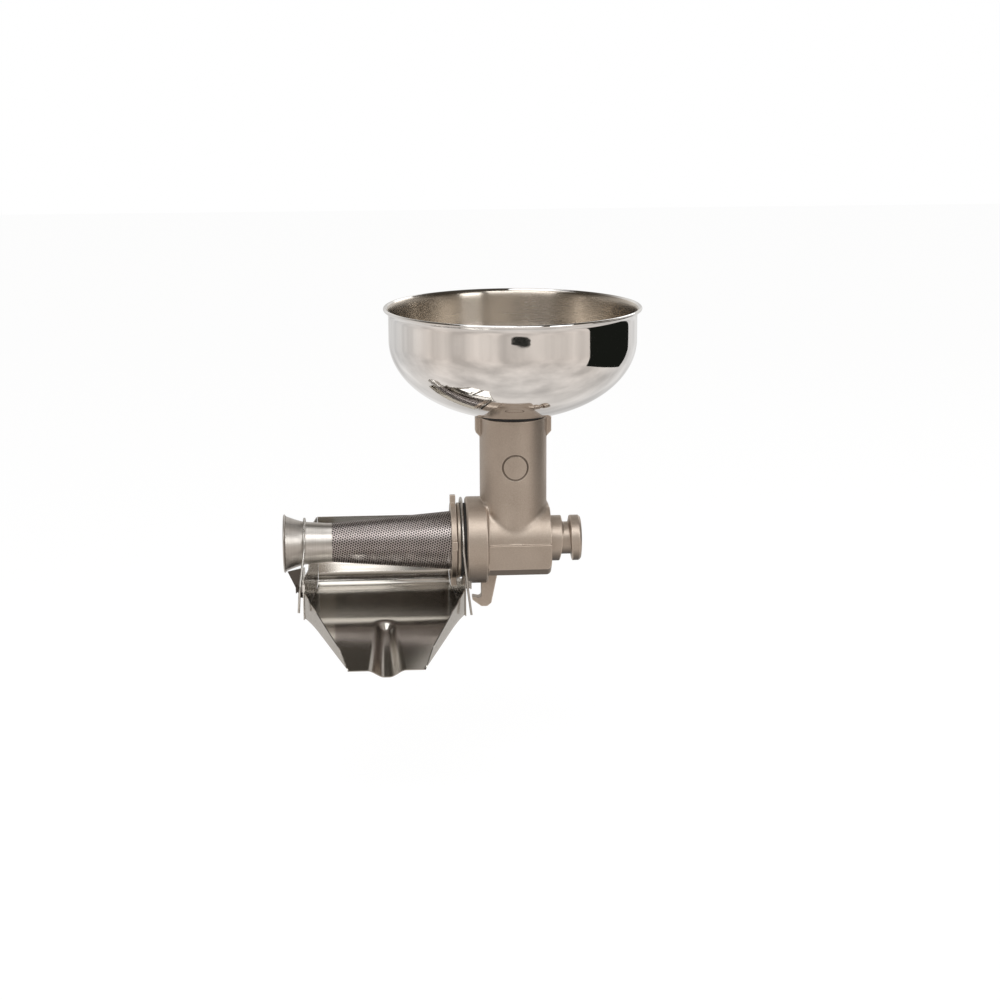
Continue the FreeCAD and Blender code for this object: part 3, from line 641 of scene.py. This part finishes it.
# Painted shade: near-black steel on the hole walls and the cone's inner face, where shade falls inside the
# cone.
painted_hole_shade = metal("painted_hole_shade", (500, 500, 500), 40.0, (0.016, 0.013, 0.011), (0.03, 0.026, 0.023),
                   0.5, 0.6, 0.000005)
punched = bpy.data.node_groups.new("punched_cone", "GeometryNodeTree")


def maths(operation, first, second=None):
    """Math node among the cone's nodes, fed by sockets or plain numbers."""
    node = punched.nodes.new("ShaderNodeMath")
    node.operation = operation
    for socket, value in zip(node.inputs, (first, second)):
        if isinstance(value, (int, float)):
            socket.default_value = value
        elif value is not None:
            punched.links.new(value, socket)
    return node.outputs[0]


for socket_name, kind in (("Tile", "Object"), ("Rows", "Int"), ("Columns", "Int"), ("Pitch", "Float"),
                          ("Nearest", "Float"), ("Farthest", "Float"), ("Sine", "Float"),
                          ("Half turn", "Float"), ("Start", "Float"), ("Slant", "Float"),
                          ("Metal", "Material"), ("Shade", "Material")):
    punched.interface.new_socket(name=socket_name, in_out="INPUT", socket_type="NodeSocket" + kind)
punched.interface.new_socket(name="Geometry", in_out="OUTPUT", socket_type="NodeSocketGeometry")
nodes, links = punched.nodes, punched.links
given = nodes.new("NodeGroupInput").outputs
holes = nodes.new("GeometryNodePoints")
links.new(maths("MULTIPLY", given["Rows"], given["Columns"]), holes.inputs["Count"])
index = nodes.new("GeometryNodeInputIndex").outputs[0]
row = maths("FLOOR", maths("DIVIDE", index, given["Columns"]))
column = maths("SUBTRACT", index, maths("MULTIPLY", row, given["Columns"]))
odd = maths("MULTIPLY", maths("MODULO", row, 2.0), 0.5)
middle = maths("MULTIPLY", given["Columns"], 0.5)
sideways = maths("SUBTRACT", maths("ADD", column, odd), middle)
flat_y = maths("MULTIPLY", sideways, given["Pitch"])
row_gap = maths("MULTIPLY", given["Pitch"], math.sqrt(0.75))
mid_row = maths("SUBTRACT", row, maths("MULTIPLY", given["Rows"], 0.5))
mid_reach = maths("MULTIPLY", maths("ADD", given["Nearest"], given["Farthest"]), 0.5)
spot = nodes.new("ShaderNodeCombineXYZ")
links.new(maths("ADD", maths("MULTIPLY", mid_row, row_gap), mid_reach), spot.inputs["X"])
links.new(flat_y, spot.inputs["Y"])
pivot = nodes.new("ShaderNodeCombineXYZ")
links.new(mid_reach, pivot.inputs["X"])
askew = nodes.new("ShaderNodeVectorRotate")
askew.rotation_type = "Z_AXIS"
links.new(spot.outputs[0], askew.inputs["Vector"])
links.new(pivot.outputs[0], askew.inputs["Center"])
links.new(given["Slant"], askew.inputs["Angle"])
lattice = nodes.new("GeometryNodeSetPosition")
links.new(holes.outputs[0], lattice.inputs["Geometry"])
links.new(askew.outputs[0], lattice.inputs["Position"])
where = nodes.new("GeometryNodeInputPosition")
parted = nodes.new("ShaderNodeSeparateXYZ")
links.new(where.outputs[0], parted.inputs[0])
squares = maths("ADD", maths("POWER", parted.outputs[0], 2.0),
                maths("POWER", parted.outputs[1], 2.0))
flat_reach = maths("SQRT", squares)
flat_turn = maths("ARCTAN2", parted.outputs[1], parted.outputs[0])
past_ends = maths("ADD", maths("LESS_THAN", flat_reach, given["Nearest"]),
                  maths("GREATER_THAN", flat_reach, given["Farthest"]))
past_seam = maths("GREATER_THAN", maths("ABSOLUTE", flat_turn), given["Half turn"])
outside = maths("ADD", past_ends, past_seam)
trim = nodes.new("GeometryNodeDeleteGeometry")
links.new(lattice.outputs[0], trim.inputs["Geometry"])
links.new(outside, trim.inputs["Selection"])
tile_info = nodes.new("GeometryNodeObjectInfo")
links.new(given["Tile"], tile_info.inputs["Object"])
stamp = nodes.new("GeometryNodeInstanceOnPoints")
links.new(trim.outputs[0], stamp.inputs["Points"])
links.new(tile_info.outputs["Geometry"], stamp.inputs["Instance"])
skewed = nodes.new("ShaderNodeCombineXYZ")
links.new(given["Slant"], skewed.inputs["Z"])
links.new(skewed.outputs[0], stamp.inputs["Rotation"])
real = nodes.new("GeometryNodeRealizeInstances")
links.new(stamp.outputs[0], real.inputs[0])
weld = nodes.new("GeometryNodeMergeByDistance")
weld.inputs["Distance"].default_value = weld_reach
links.new(real.outputs[0], weld.inputs["Geometry"])
cone_turn = maths("SUBTRACT", maths("DIVIDE", flat_turn, given["Sine"]), math.pi / 2)
cone_reach = maths("ADD", maths("MULTIPLY", flat_reach, given["Sine"]), parted.outputs[2])
rolled = nodes.new("ShaderNodeCombineXYZ")
cone_x = maths("MULTIPLY", flat_reach, cone_cosine)
links.new(maths("ADD", given["Start"], cone_x), rolled.inputs["X"])
links.new(maths("MULTIPLY", cone_reach, maths("SINE", cone_turn)), rolled.inputs["Y"])
links.new(maths("MULTIPLY", cone_reach, maths("COSINE", cone_turn)), rolled.inputs["Z"])
roll = nodes.new("GeometryNodeSetPosition")
links.new(weld.outputs[0], roll.inputs["Geometry"])
links.new(rolled.outputs[0], roll.inputs["Position"])
paint = nodes.new("GeometryNodeSetMaterial")
links.new(roll.outputs[0], paint.inputs["Geometry"])
links.new(given["Metal"], paint.inputs["Material"])
inner = nodes.new("GeometryNodeInputNamedAttribute")
inner.data_type = "BOOLEAN"
inner.inputs["Name"].default_value = "inner"
paint_inner = nodes.new("GeometryNodeSetMaterial")
links.new(paint.outputs[0], paint_inner.inputs["Geometry"])
links.new(inner.outputs["Attribute"], paint_inner.inputs["Selection"])
links.new(given["Shade"], paint_inner.inputs["Material"])
links.new(paint_inner.outputs[0], nodes.new("NodeGroupOutput").inputs["Geometry"])

tile_corners = [(hole_pitch / math.sqrt(3), math.radians(60 * n)) for n in range(6)]
tile_corners += [(hole_radius, math.radians(60 * n)) for n in range(6)]
tile_points = [(r * math.cos(a), r * math.sin(a), z) for z in (0.0, -cone_wall) for r, a in tile_corners]
tile_faces = []
for n in range(6):
    m = (n + 1) % 6
    tile_faces += [(n, m, 6 + m, 6 + n), (18 + n, 18 + m, 12 + m, 12 + n), (6 + n, 6 + m, 18 + m, 18 + n)]
tile_mesh = bpy.data.meshes.new("hole_tile")
tile_mesh.from_pydata([Vector(p) * MM for p in tile_points], [], tile_faces)
inner_faces = tile_mesh.attributes.new("inner", "BOOLEAN", "FACE")
inner_faces.data.foreach_set("value", [n % 3 > 0 for n in range(len(tile_faces))])
tile = bpy.data.objects.new("hole_tile", tile_mesh)
sheet = bpy.data.objects.new("punched_sheet", bpy.data.meshes.new("punched_sheet"))
scene.collection.objects.link(sheet)
maker = sheet.modifiers.new("punch", "NODES")
maker.node_group = punched
cone_far = cone_apex + holes_over
cone_near = cone_apex - cone_slant + holes_short
rows_over = 0.4
columns_over = 0.5
rows_apart = 0.8
lattice_length = cone_slant + rows_over * cone_far * cone_sine * math.pi
lattice_width = 2 * cone_far * math.sin(math.pi * cone_sine) + columns_over * cone_slant
wanted = {"Tile": tile, "Pitch": hole_pitch * MM, "Nearest": cone_near * MM, "Farthest": cone_far * MM,
          "Sine": cone_sine, "Half turn": math.pi * cone_sine - 0.5 * hole_pitch / cone_apex,
          "Start": (cone_start - cone_apex * cone_cosine) * MM, "Slant": hole_slant,
          "Metal": screen_steel, "Shade": painted_hole_shade, "Columns": int(lattice_width / hole_pitch),
          "Rows": int(lattice_length / (hole_pitch * rows_apart))}
for item in punched.interface.items_tree:
    if item.in_out == "INPUT":
        maker[item.identifier] = wanted[item.name]
cone_mesh = built_mesh(sheet)
bpy.data.objects.remove(sheet)
seam_half = 4.2
seam_length = 121.5
seam_proud = 0.12
seam_depth = 0.92
seam = bmesh.new()
seam.from_mesh(cone_mesh)
bmesh.ops.recalc_face_normals(seam, faces=seam.faces)
rows = []
for n in range(2):
    seam_x = cone_start - seam_length * n
    radius = cone_large + (cone_small - cone_large) * n * seam_length / cone_length
    turns = [math.pi / 2 + seam_half / radius * k / 4 for k in range(-4, 5)]
    outer, inner = radius + seam_proud, radius - seam_depth
    ring = [(seam_x, outer * math.sin(a), outer * math.cos(a)) for a in turns]
    ring += [(seam_x, inner * math.sin(a), inner * math.cos(a)) for a in reversed(turns)]
    rows.append([seam.verts.new(Vector(p) * MM) for p in ring])
strip = []
for k in range(len(rows[0])):
    after = (k + 1) % len(rows[0])
    strip.append(seam.faces.new((rows[0][k], rows[1][k], rows[1][after], rows[0][after])))
strip += [seam.faces.new(rows[0]), seam.faces.new(list(reversed(rows[1])))]
bmesh.ops.recalc_face_normals(seam, faces=strip)
seam.to_mesh(cone_mesh)
seam.free()
cone_mesh.name = "screen_cone"
add_piece("screen_cone", cone_mesh, "screen", ["cone_screen"])

# Waste outlet: plain stainless collar lapped over the cone's small end and spot-welded to it, then
# spun out into a flare with a rolled rim.
collar_start = -222.8
collar_end = -251.0
collar_radius = 22.0
flare_length = 20.0
flare_mouth = 28.6
flare_bead = 1.5
outlet_wall = 0.8
lap_length = 3.4
lap_lip = 0.65
lap_waist = 0.4
flare_power = 1.22
bead_squash = 0.9
satin_steel = metal("satin_steel", (1200, 30, 30), 20.0, (0.52, 0.49, 0.455), (0.65, 0.62, 0.585),
                    0.32, 0.42, 0.000004, grip=0.3, axis="X")


def outlet_skin(inset):
    """Collar and flare from the cone outwards, moved in by the sheet's thickness."""
    waist = cone_small + lap_waist
    lap_end = collar_start - lap_length
    outline = [(cone_small + lap_lip - inset, collar_start), (waist - inset, lap_end)]
    for n in range(1, 7):
        radius = waist + (collar_radius - waist) * n / 6
        outline.append((radius - inset, lap_end + (collar_end - lap_end) * n / 6))
    for n in range(1, 17):
        share = n / 16
        radius = collar_radius + (flare_mouth - collar_radius) * share ** flare_power
        outline.append((radius - inset, collar_end - flare_length * share))
    return outline


outlet_turns = [math.radians(90 - 270 * n / 14) for n in range(15)]
outlet_outline = outlet_skin(0.0)[:-1]
mouth_x = collar_end - flare_length
outlet_outline += [(flare_mouth + flare_bead * math.sin(t),
                    mouth_x - flare_bead * math.cos(t) * bead_squash) for t in outlet_turns]
outlet_outline += list(reversed(outlet_skin(outlet_wall)[:-1]))
outlet_mesh = lathe("waste_outlet", outlet_outline, "X", 0.0, 160, [satin_steel])
add_piece("waste_outlet", outlet_mesh, "screen", ["outlet_flare"])

# Screen flange: turned stainless ring with the cone welded into it. Its neck enters the body's mouth
# and its rim presses on the gasket.
flange_outline = [(29.2, -95.0), (38.5, -95.0), (38.5, -92.0), (35.9, -92.0), (35.9, -75.0), (33.3, -75.0),
                  (33.3, -92.0), (29.2, -92.0)]
turned_steel = metal("turned_steel", (1500, 60, 60), 30.0, (0.40, 0.345, 0.29), (0.52, 0.45, 0.38),
                     0.34, 0.46, 0.00001)
flange_mesh = lathe("screen_flange_ring", soften(flange_outline, 0.5, 3), "X", 0.0, 160, [turned_steel])
add_piece("screen_flange_ring", flange_mesh, "screen", ["screen_flange"])

# Rubber: gasket between flange and body, seal under the bowl and shaft seal, all moulded in matt black
# rubber. The first two are held by the pieces they part, the shaft seal by its press fit in the body.
rubber = metal("black_rubber", (700, 700, 700), 60.0, (0.012, 0.011, 0.010), (0.03, 0.028, 0.026),
               0.55, 0.75, 0.00002, metallic=0.0)
seal_outline = [(27.35, 129.55), (33.0, 129.55), (33.4, 130.6), (33.1, 131.75), (30.2, 131.2),
                (27.35, 130.6)]
seal_mesh = lathe("bowl_gasket", soften(seal_outline, 0.3, 3), "Z", bowl_centre, 128, [rubber])
add_piece("bowl_gasket", seal_mesh, "mill", ["bowl_seal"])


def paint_nodes(material, *names):
    """Gives a material to nodes that keep their own mesh."""
    for name in names:
        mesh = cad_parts[name].data
        mesh.materials.clear()
        mesh.materials.append(material)


paint_nodes(rubber, "body_gasket", "shaft_seal")

# Tray: one stainless sheet bent into back panel, pan and chute, with a pouring channel pressed along
# the middle of the chute and its front edges folded up into low walls.
tray_centre = -170.3
tray_back = 60.0
tray_top = 11.6
tray_back_half = 69.0
horn_y = -38.0
horn_half = 81.6
lip_y = -130.0
lip_half = 38.1
bend_y = -54.0
bend_z = -70.8
lip_z = -96.0
pan_slope = math.tan(math.radians(4.4))
back_round = 16.0
back_lean = 3.0
bend_round = 125.0
tray_sheet = 1.0
fold_round = 1.8
channel_start = -0.08
channel_nose = 0.16
channel_half = 11.0
channel_widening = 8.0
channel_press = 4.6
channel_deepening = 2.2
channel_floor = 1.15
horn_top = -43.0
knee_y = -112.0
knee_top = -78.2
lowest_wall = 0.15
tray_steel = metal("tray_steel", (14, 500, 500), 9.0, (0.52, 0.495, 0.455), (0.63, 0.605, 0.565),
                   0.12, 0.18, 0.000002)


def bend_between(start, corner, end, size, count):
    """Points of a round bend of this size at a corner of the tray's side outline."""
    here = Vector(corner)
    back = (Vector(start) - here).normalized()
    ahead = (Vector(end) - here).normalized()
    half = back.angle(ahead) / 2
    reach = size / math.tan(half)
    middle = here + (back + ahead).normalized() * size / math.sin(half)
    first = here + back * reach - middle
    last = here + ahead * reach - middle
    sweep = first.angle_signed(last)
    points = []
    for n in range(count + 1):
        angle = -sweep * n / count
        points.append((middle.x + first.x * math.cos(angle) - first.y * math.sin(angle),
                       middle.y + first.x * math.sin(angle) + first.y * math.cos(angle)))
    return points


def spread(start, end, count):
    """Points between two ends, without the ends."""
    return [tuple(a + (b - a) * n / count for a, b in zip(start, end)) for n in range(1, count)]


def half_width(y):
    """Half the tray's width, which grows from the back to the horns and narrows down to the lip."""
    if y >= horn_y:
        return tray_back_half + (horn_half - tray_back_half) * (tray_back - y) / (tray_back - horn_y)
    return horn_half + (lip_half - horn_half) * (horn_y - y) / (horn_y - lip_y)


def channel_depth(x, y):
    """How deep the pouring channel is pressed at a point of the chute."""
    along = (bend_y - y) / (bend_y - lip_y)
    if along <= channel_start:
        return 0.0
    width = channel_half + channel_widening * max(along, 0.0)
    depth = channel_press + channel_deepening * max(along, 0.0)
    nose = min(1.0, (along - channel_start) / channel_nose)
    side = min(1.0, max(0.0, (1.0 - abs(x - tray_centre) / width) * channel_floor))
    return depth * nose * nose * (3 - 2 * nose) * side * side * (3 - 2 * side)


def wall_height(y):
    """Height of the folded wall over the chute's edge, from the horn down to the lip."""
    slope = pan_slope if y >= bend_y else (lip_z - bend_z) / (lip_y - bend_y)
    bottom = bend_z + (y - bend_y) * slope
    if y >= knee_y:
        top = horn_top + (knee_top - horn_top) * (horn_y - y) / (horn_y - knee_y)
    else:
        top = knee_top + (lip_z - knee_top) * (knee_y - y) / (knee_y - lip_y)
    return max(top - bottom, lowest_wall)


back_low = (tray_back, bend_z + (tray_back - bend_y) * pan_slope)
back_edge = (tray_back + back_lean, tray_top)
back_bend = bend_between(back_edge, back_low, (bend_y, bend_z), back_round, 14)
tray_rows = [back_edge] + spread(back_edge, back_bend[0], 8) + back_bend
horn_point = (horn_y, bend_z + (horn_y - bend_y) * pan_slope)
tray_rows += spread(tray_rows[-1], horn_point, 8) + [horn_point, horn_point]
soft_bend = bend_between(back_low, (bend_y, bend_z), (lip_y, lip_z), bend_round, 8)
tray_rows += spread(horn_point, soft_bend[0], 5) + soft_bend
tray_rows += spread(soft_bend[-1], (lip_y, lip_z), 36) + [(lip_y, lip_z)]
horn_row = tray_rows.index(horn_point)
floor_columns = 72
fold_steps = 4
wall_steps = 4
tray_points = []
for number, (y, z) in enumerate(tray_rows):
    half = half_width(y)
    height = wall_height(y) if number > horn_row else 0.0
    round_off = min(fold_round, height) if height else 0.0
    fold_z = z + round_off
    side_points = [(half, fold_z + (height - round_off) * (1 - n / wall_steps)) for n in range(wall_steps)]
    for n in range(fold_steps):
        angle = math.pi / 2 * n / fold_steps
        side_points.append((half - fold_round * (1 - math.cos(angle)),
                            z + round_off * (1 - math.sin(angle))))
    line = [(tray_centre - x, y, h) for x, h in side_points]
    for n in range(floor_columns + 1):
        x = (half - fold_round) * (2 * n / floor_columns - 1)
        line.append((tray_centre + x, y, z - channel_depth(tray_centre + x, y)))
    line += [(tray_centre + x, y, h) for x, h in reversed(side_points)]
    tray_points.append(line)
columns = len(tray_points[0])
tray_faces = []
for number in range(len(tray_points) - 1):
    for k in range(columns - 1):
        if number == horn_row:
            continue
        if number < horn_row and (k < wall_steps or k >= columns - 1 - wall_steps):
            continue
        a = number * columns + k
        tray_faces.append((a, a + 1, a + columns + 1, a + columns))
same_place = 0.00001
tray_flat = bpy.data.meshes.new("tray_flat")
tray_flat.from_pydata([Vector(p) * MM for line in tray_points for p in line], [], tray_faces)
tray_flat.materials.append(tray_steel)
shape = bmesh.new()
shape.from_mesh(tray_flat)
bmesh.ops.delete(shape, geom=[v for v in shape.verts if not v.link_faces], context="VERTS")
bmesh.ops.remove_doubles(shape, verts=shape.verts, dist=same_place)
shape.to_mesh(tray_flat)
shape.free()
tray_blank = bpy.data.objects.new("tray_blank", tray_flat)
scene.collection.objects.link(tray_blank)
thicken = tray_blank.modifiers.new("thicken", "SOLIDIFY")
thicken.thickness = tray_sheet * MM
thicken.offset = -1.0
tray_mesh = built_mesh(tray_blank)
bpy.data.objects.remove(tray_blank)
tray_mesh.name = "juice_tray"
add_piece("juice_tray", tray_mesh, "tray", ["tray_trough"])

# Tray cheeks: flat stainless end walls, notched round the screen and welded to the tray. The left one has a
# wing bent outwards, coloured dark as painted shade.
wing_from = -0.2525
wing_full = -0.2545
cheek_steel = metal("cheek_steel", (500, 30, 500), 14.0, (0.46, 0.44, 0.41), (0.62, 0.60, 0.57),
                    0.2, 0.3, 0.00001)
nodes, links = cheek_steel.node_tree.nodes, cheek_steel.node_tree.links
place = nodes.new("ShaderNodeTexCoord")
parts = nodes.new("ShaderNodeSeparateXYZ")
links.new(place.outputs["Object"], parts.inputs[0])
# Painted shade over the left cheek's wing.
painted_wing_shade = tuned(nodes, "ShaderNodeMapRange", {"From Min": wing_from, "From Max": wing_full})
links.new(parts.outputs["X"], painted_wing_shade.inputs["Value"])
overlay(cheek_steel, painted_wing_shade.outputs["Result"], (0.06, 0.05, 0.042))
paint_nodes(cheek_steel, "tray_left_cheek", "tray_right_cheek")

# Wire bails: two bent spring-steel wires that hook over the collar and the gasket's neck and hold
# the tray up; each pivots on its own bent end in a cheek and snaps behind a keeper.
wire_radius = 1.25
wire_sides = 14
wire_bend = 4.0
stub_share = 0.3
hoop_steps = 40
leg_y = -42.25
leg_z = -37.0
spring_steel = metal("spring_steel", (300, 300, 300), 40.0, (0.42, 0.40, 0.37), (0.60, 0.58, 0.55),
                     0.24, 0.34, 0.000003)


def wire_path(x, pivot_y, front_y, top_z, stub_end, lean, tail_lean, tail_z):
    """Corners of a bail: bent pivot end, hoop over the neck, leg and tail."""
    middle = (pivot_y + front_y) / 2
    half = (pivot_y - front_y) / 2
    radius = (half * half + top_z * top_z) / (2 * top_z)
    centre = top_z - radius
    first = math.atan2(-centre, half)
    hoop = []
    for n in range(hoop_steps + 1):
        angle = first + (math.pi - 2 * first) * n / hoop_steps
        hoop.append((x, middle + radius * math.cos(angle), centre + radius * math.sin(angle)))
    foot = Vector(hoop[-1])
    knee = Vector((x + lean, leg_y, leg_z))
    tip = Vector((x + lean + tail_lean, leg_y, tail_z))
    leg = (knee - foot).normalized() * wire_bend
    tail = (tip - knee).normalized() * wire_bend
    stub = (x + (stub_end - x) * stub_share, pivot_y, 0.0)
    path = [(stub_end, pivot_y, 0.0)] + curve_through(stub, hoop[0], hoop[2], 6)
    path += hoop[3:-3]
    path += curve_through(hoop[-3], foot, foot + leg, 6)
    path += curve_through(knee - leg, knee, knee + tail, 6)
    return path + [tip]


def wire(name, path):
    """Round wire along a path, with flat ends."""
    points = [Vector(p) for p in path]
    rows = []
    across = Vector((1, 0, 0))
    for n, point in enumerate(points):
        run = (points[min(n + 1, len(points) - 1)] - points[max(n - 1, 0)]).normalized()
        if n == 0:
            across = run.orthogonal().normalized()
        across = (across - run * across.dot(run)).normalized()
        other = run.cross(across)
        rows.append([point + (across * math.cos(a) + other * math.sin(a)) * wire_radius
                     for a in (2 * math.pi * k / wire_sides for k in range(wire_sides))])
    faces = [tuple(range(wire_sides)), tuple(range((len(rows) - 1) * wire_sides, len(rows) * wire_sides))]
    for n in range(len(rows) - 1):
        for k in range(wire_sides):
            a, b = n * wire_sides + k, n * wire_sides + (k + 1) % wire_sides
            faces.append((a, b, b + wire_sides, a + wire_sides))
    mesh = bpy.data.meshes.new(name)
    mesh.from_pydata([p * MM for row in rows for p in row], [], faces)
    mesh.materials.append(spring_steel)
    face_out(mesh)
    return mesh


left_path = wire_path(x=-250.9, pivot_y=28.0, front_y=-24.5, top_z=24.55, stub_end=-240.6, lean=-5.0,
                      tail_lean=-1.6, tail_z=-61.5)
add_piece("left_wire", wire("left_wire", left_path), "left_bail", ["bail_left"])
right_path = wire_path(x=-90.0, pivot_y=54.0, front_y=-43.0, top_z=41.65, stub_end=-102.3, lean=3.5,
                       tail_lean=4.0, tail_z=-68.0)
add_piece("right_wire", wire("right_wire", right_path), "right_bail", ["bail_right"])

# Drive line inside: turned steel shaft, clip and pin, bronze bush and washer, and a cast auger coloured
# near black as painted shade. It shows only through the cone's holes and at the two open ends.
bar_steel = metal("bar_steel", (900, 120, 120), 40.0, (0.42, 0.41, 0.40), (0.60, 0.59, 0.58),
                  0.22, 0.34, 0.00001)
bronze = metal("bronze", (900, 120, 120), 40.0, (0.52, 0.35, 0.16), (0.66, 0.46, 0.22), 0.26, 0.38, 0.00001)
tinned_iron = metal("tinned_iron", (600, 600, 600), 30.0, (0.07, 0.066, 0.06), (0.12, 0.113, 0.104),
                    0.42, 0.56, 0.00003)
paint_nodes(bar_steel, "drive_shaft", "shaft_clip", "cross_pin")
paint_nodes(bronze, "rear_bush", "thrust_washer")
paint_nodes(tinned_iron, "auger")
